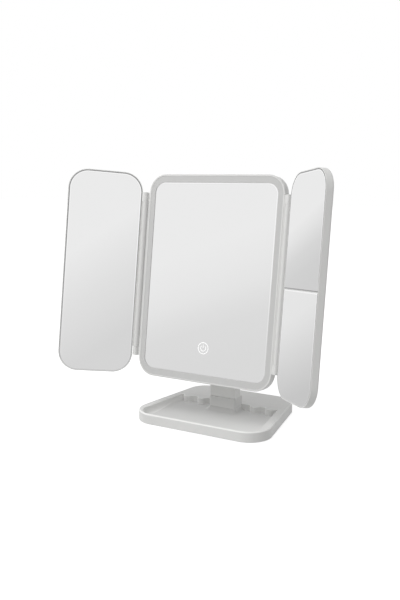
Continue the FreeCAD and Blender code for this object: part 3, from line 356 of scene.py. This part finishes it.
def frosted_diffuser(name, colour):
    """The unlit frosted band: milky, with a fine etched grain."""
    material, tree, shader = new_material(name)
    place = object_coordinates(tree)
    cloud = noise(tree, place, scale=40.0, detail=3.0)
    tree.links.new(mottled(tree, cloud, colour, 0.97), shader.inputs["Base Color"])
    etch = noise(tree, place, scale=2500.0, detail=2.0)
    tree.links.new(spread(tree, etch, 0.5, 0.62), shader.inputs["Roughness"])
    bump(tree, shader, etch, strength=0.3, distance=0.03 * MM)
    shader.inputs["Subsurface Weight"].default_value = 0.1
    shader.inputs["Subsurface Radius"].default_value = (2 * MM, 2 * MM, 2 * MM)
    shader.inputs["Subsurface Scale"].default_value = 1.0
    return material


def plain_steel(name, colour, roughness):
    """Bare steel with fine streaks."""
    material, tree, shader = new_material(name)
    streaks = noise(tree, object_coordinates(tree, (1, 1, 12)), scale=300.0, detail=4.0)
    tree.links.new(mottled(tree, streaks, colour, 0.85), shader.inputs["Base Color"])
    tree.links.new(spread(tree, streaks, roughness - 0.06, roughness + 0.08), shader.inputs["Roughness"])
    shader.inputs["Metallic"].default_value = 1.0
    return material


def foam_rubber(name, colour):
    """Matt foam rubber, darker in its cells."""
    material, tree, shader = new_material(name)
    cells = noise(tree, object_coordinates(tree), scale=900.0, detail=3.0, roughness=0.7)
    tree.links.new(mottled(tree, cells, colour, 0.8), shader.inputs["Base Color"])
    shader.inputs["Roughness"].default_value = 0.9
    bump(tree, shader, cells, strength=0.5, distance=0.2 * MM)
    return material


def sign_with_painted_glow(name, colour, strength):
    """The etched sign: matt white, with a painted glow of its own."""
    material, tree, shader = new_material(name)
    frost = noise(tree, object_coordinates(tree), scale=3000.0, detail=2.0)
    for use in ("Base Color", "Emission Color"):
        tree.links.new(mottled(tree, frost, colour, 0.97), shader.inputs[use])
    shader.inputs["Emission Strength"].default_value = strength
    shader.inputs["Roughness"].default_value = 0.7
    return material


FINISHES = {
    "white_shell": moulded_plastic("white_shell", WHITE, **SHELL),
    "inner_plastic": moulded_plastic("inner_plastic", (0.72, 0.72, 0.71), 0.5),
    "diffuser": frosted_diffuser("diffuser", (0.567, 0.567, 0.560)),
    "backing": moulded_plastic("backing", (0.05, 0.05, 0.05), 0.7),
    "pad": foam_rubber("pad", (0.35, 0.35, 0.34)),
    "steel": plain_steel("steel", (0.62, 0.62, 0.63), 0.32),
    "board": moulded_plastic("board", (0.78, 0.79, 0.77), 0.45),
    "led": moulded_plastic("led", (0.85, 0.74, 0.38), 0.3),
    "cell": moulded_plastic("cell", (0.16, 0.2, 0.3), 0.4),
}
WING_GLASS = {"corner": 24.5 * MM, "outline": 1.1 * MM}
# Each mirror's levels are its painted reflection's greys, from its foot to its top.
MIRRORS = {
    "main_mirror": mirror_glass(
        "main_mirror",
        ((0.03, 0.755), (0.24, 0.775), (0.32, 0.805), (0.42, 0.852), (0.53, 0.880), (0.68, 0.905)),
        corner=13.5 * MM),
    "left_wing_mirror": mirror_glass(
        "left_wing_mirror",
        ((0.10, 0.722), (0.30, 0.780), (0.40, 0.805), (0.55, 0.855), (0.70, 0.905), (0.95, 0.905)),
        **WING_GLASS),
    "right_upper_mirror": mirror_glass(
        "right_upper_mirror",
        ((0.03, 0.652), (0.15, 0.662), (0.32, 0.712), (0.49, 0.825), (0.62, 0.890), (0.95, 0.890)),
        **WING_GLASS, dark_end=-1),
    "right_lower_mirror": mirror_glass(
        "right_lower_mirror",
        ((0.05, 0.580), (0.29, 0.662), (0.49, 0.735), (0.69, 0.808), (0.80, 0.838), (0.95, 0.845)),
        **WING_GLASS, bright_end=1),
}
OWN_FINISHES = {
    **MIRRORS,
    # The tray's colour carries painted light and shade.
    "base_tray": moulded_plastic("tray_shell", WHITE, **SHELL, painted_shading=tray_painted_shading),
    # The neck's lighter white is painted light.
    "neck": moulded_plastic("neck_shell", NECK_WHITE_PAINTED_LIGHT, **SHELL),
}

# The photograph's mirrors reflect no part of the object, and throw no light back on the tray.
for part in frame["record"]["subparts"]:
    obj = nodes[part["node"]]
    obj.visible_glossy = False
    obj.visible_diffuse = part["node"] not in MIRRORS
    obj.data.materials.clear()
    obj.data.materials.append(OWN_FINISHES.get(part["node"]) or FINISHES[part["material_slot"]])


# ---------------------------------------------------------------- small pieces

def piece_from(name, work, material, body):
    """A new piece from a bmesh, with its finish, on its body."""
    mesh = bpy.data.meshes.new(name)
    work.normal_update()
    work.to_mesh(mesh)
    work.free()
    mesh.materials.append(material)
    piece = bpy.data.objects.new(name, mesh)
    scene.collection.objects.link(piece)
    piece.visible_glossy = False
    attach(piece, body)


def prism(work, lower, upper):
    """A solid between two outlines with the same number of corners."""
    work.faces.new(lower[::-1])
    work.faces.new(upper)
    for corner in range(len(lower)):
        after = (corner + 1) % len(lower)
        work.faces.new((lower[corner], lower[after], upper[after], upper[corner]))
    bmesh.ops.recalc_face_normals(work, faces=work.faces)


def ring_arc(work, place, panel, inner, outer, start, stop, height, steps):
    """A raised ring, or a part of one between two angles clockwise from straight up."""
    rings = []
    for step in range(steps + 1):
        angle = math.radians(start + (stop - start) * step / steps)
        way = panel.across * math.sin(angle) + panel.up * math.cos(angle)
        rings.append([work.verts.new(place + way * radius + panel.front * lift)
                      for radius, lift in ((inner, 0), (inner, height), (outer, height), (outer, 0))])
    for here, there in zip(rings, rings[1:]):
        for corner in range(4):
            after = (corner + 1) % 4
            work.faces.new((here[corner], here[after], there[after], there[corner]))
    if stop - start < 360:
        work.faces.new(rings[0][::-1])
        work.faces.new(rings[-1])
    bmesh.ops.remove_doubles(work, verts=work.verts, dist=1e-6)
    bmesh.ops.recalc_face_normals(work, faces=work.faces)


def touch_sign():
    """The touch switch's generic sign: a ring, and an open ring with a bar inside it."""
    panel = panel_of("main_mirror")
    low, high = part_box("touch_sensor")
    sensor = (Vector(low) + Vector(high)) / 2
    place = panel.middle + panel.up * (sensor - panel.middle).dot(panel.up)
    # Painted glow: the sign gives off a little light of its own.
    glow = sign_with_painted_glow("sign", grey(0.88), 0.28)
    thickness = 0.06 * MM
    ring = bmesh.new()
    ring_arc(ring, place, panel, 6.5 * MM, 7.5 * MM, 0, 360, thickness, steps=96)
    piece_from("touch_ring", ring, glow, "head")
    power = bmesh.new()
    ring_arc(power, place, panel, 3.2 * MM, 4.1 * MM, 42, 318, thickness, steps=72)
    half, foot, top = 0.42 * MM, 0.6 * MM, 4.4 * MM
    outline = [(-half, foot), (half, foot), (half, top), (-half, top)]
    prism(power, *([power.verts.new(place + panel.across * x + panel.up * y + panel.front * lift)
                    for x, y in outline] for lift in (0, thickness)))
    piece_from("touch_power", power, glow, "head")


# The leaf's outline in millimetres: outwards and forwards of the hinge's axis.
LEAF_PROFILE = [(-5.6, -0.7), (-4.5, -0.7), (-4.25, -0.95), (-4.25, -1.7), (-3.75, -1.7), (-3.45, -2.1),
                (-2.9, -2.8), (-2.2, -3.4), (-1.5, -3.8), (-1.1, -4.1), (-1.1, -5.2), (-1.4, -5.5), (-5.6, -5.5)]
LEAF_HALF_LENGTH = 105.5 * MM


def hinge_leaf(side):
    """The long leaf of a hinge: it stands out from the head's side and cradles the barrel from behind."""
    panel = panel_of("main_mirror")
    hinge = Vector(next(joint for joint in frame["record"]["behaviour"]["joints"]
                        if joint["name"] == side + "_wing_fold")["pos_m"])
    outward = panel.across * (1 if hinge.x > 0 else -1)
    work = bmesh.new()
    prism(work, *([work.verts.new(hinge + outward * (out * MM) + panel.front * (forward * MM)
                                  + panel.up * end * LEAF_HALF_LENGTH) for out, forward in LEAF_PROFILE]
                  for end in (-1, 1)))
    piece_from(side + "_hinge_leaf", work, FINISHES["white_shell"], "head")


touch_sign()
hinge_leaf("left")
hinge_leaf("right")


# ---------------------------------------------------------------- stage, light and camera

LIGHT_FROM = Vector((-0.30, -0.64, 0.70)).normalized()
DOME_LEVELS = ((0.0, 0.48), (0.40, 0.50), (0.5, 0.55), (1.0, 1.0))  # from the far side to the bright side
DOME_STRENGTH = 0.82
REFLECTED_WHITE = 0.92
FLOOR_REACH = 6.0
FLOOR_GLOW = 0.72
OBJECT_MIDDLE = (0, 0, 0.16)
SENSOR = 36.0                              # in millimetres, along the image's longer side
FOCAL_PIXELS, IMAGE_PIXELS = 738.5, 600.0  # the focal length, and that side


def studio_world():
    """White to the eye and nearly so in reflections; a soft dome, brightest from the front, the left and above."""
    world = bpy.data.worlds.new("studio")
    scene.world = world
    world.use_nodes = True
    tree = world.node_tree
    tree.nodes.clear()
    dome, glossy, white = (tree.nodes.new("ShaderNodeBackground") for _ in range(3))
    place = tree.nodes.new("ShaderNodeTexCoord")
    toward = dot_with(tree, place.outputs["Generated"], LIGHT_FROM)
    dome_colour = ramp_of(tree, spread(tree, toward, 0.0, 1.0, -1.0, 1.0), DOME_LEVELS)
    tree.links.new(dome_colour, dome.inputs["Color"])
    dome.inputs["Strength"].default_value = DOME_STRENGTH
    glossy.inputs["Color"].default_value = (*grey(REFLECTED_WHITE), 1)
    white.inputs["Color"].default_value = (1, 1, 1, 1)
    rays = tree.nodes.new("ShaderNodeLightPath")
    seen = dome.outputs["Background"]
    for ray, background in (("Is Glossy Ray", glossy), ("Is Camera Ray", white)):
        mix = tree.nodes.new("ShaderNodeMixShader")
        tree.links.new(rays.outputs[ray], mix.inputs["Fac"])
        tree.links.new(seen, mix.inputs[1])
        tree.links.new(background.outputs["Background"], mix.inputs[2])
        seen = mix.outputs["Shader"]
    output = tree.nodes.new("ShaderNodeOutputWorld")
    tree.links.new(seen, output.inputs["Surface"])


def pale_floor():
    """A white floor that takes the mirror's soft shadow, with a glow that only the camera sees."""
    mesh = bpy.data.meshes.new("floor")
    corners = [(x * FLOOR_REACH, y * FLOOR_REACH, 0) for x, y in ((-1, -1), (1, -1), (1, 1), (-1, 1))]
    mesh.from_pydata(corners, [], [(0, 1, 2, 3)])
    floor = bpy.data.objects.new("floor", mesh)
    scene.collection.objects.link(floor)
    material, tree, shader = new_material("floor")
    cloud = noise(tree, object_coordinates(tree), scale=3.0, detail=4.0)
    tree.links.new(mixed(tree, cloud, grey(0.61), grey(0.63)), shader.inputs["Base Color"])
    shader.inputs["Roughness"].default_value = 0.9
    shader.inputs["Specular IOR Level"].default_value = 0.0
    glow = tree.nodes.new("ShaderNodeEmission")
    glow.inputs["Color"].default_value = (1, 1, 1, 1)
    glow.inputs["Strength"].default_value = FLOOR_GLOW
    add = tree.nodes.new("ShaderNodeAddShader")
    rays = tree.nodes.new("ShaderNodeLightPath")
    gate = tree.nodes.new("ShaderNodeMixShader")
    output = next(node for node in tree.nodes if node.type == "OUTPUT_MATERIAL")
    tree.links.new(shader.outputs["BSDF"], add.inputs[0])
    tree.links.new(glow.outputs["Emission"], add.inputs[1])
    tree.links.new(rays.outputs["Is Camera Ray"], gate.inputs["Fac"])
    tree.links.new(shader.outputs["BSDF"], gate.inputs[1])
    tree.links.new(add.outputs["Shader"], gate.inputs[2])
    tree.links.new(gate.outputs["Shader"], output.inputs["Surface"])
    mesh.materials.append(material)
    floor.visible_glossy = False


def key_lamp(place, width, watts):
    """A large soft lamp, aimed at the object's middle and not seen in reflections."""
    lamp = bpy.data.lights.new("key", "AREA")
    lamp.shape = "SQUARE"
    lamp.size = width
    lamp.energy = watts
    obj = bpy.data.objects.new("key", lamp)
    obj.location = place
    obj.rotation_euler = (Vector(OBJECT_MIDDLE) - Vector(place)).to_track_quat("-Z", "Y").to_euler()
    obj.visible_glossy = False
    scene.collection.objects.link(obj)


def photo_camera(place, pitch_down, turn):
    """The camera at the photograph's angle."""
    data = bpy.data.cameras.new("camera")
    data.sensor_width = SENSOR
    data.lens = FOCAL_PIXELS * SENSOR / IMAGE_PIXELS
    data.clip_start = 0.05
    data.clip_end = 50.0
    camera = bpy.data.objects.new("camera", data)
    camera.location = place
    camera.rotation_euler = (math.radians(90 - pitch_down), 0, math.radians(turn))
    scene.collection.objects.link(camera)
    scene.camera = camera


studio_world()
pale_floor()
key_lamp(place=(-0.80, -1.56, 1.84), width=1.6, watts=30)
photo_camera(place=(0.4402, -0.8344, 0.3190), pitch_down=9.784, turn=29.517)
scene.view_settings.view_transform = "Standard"
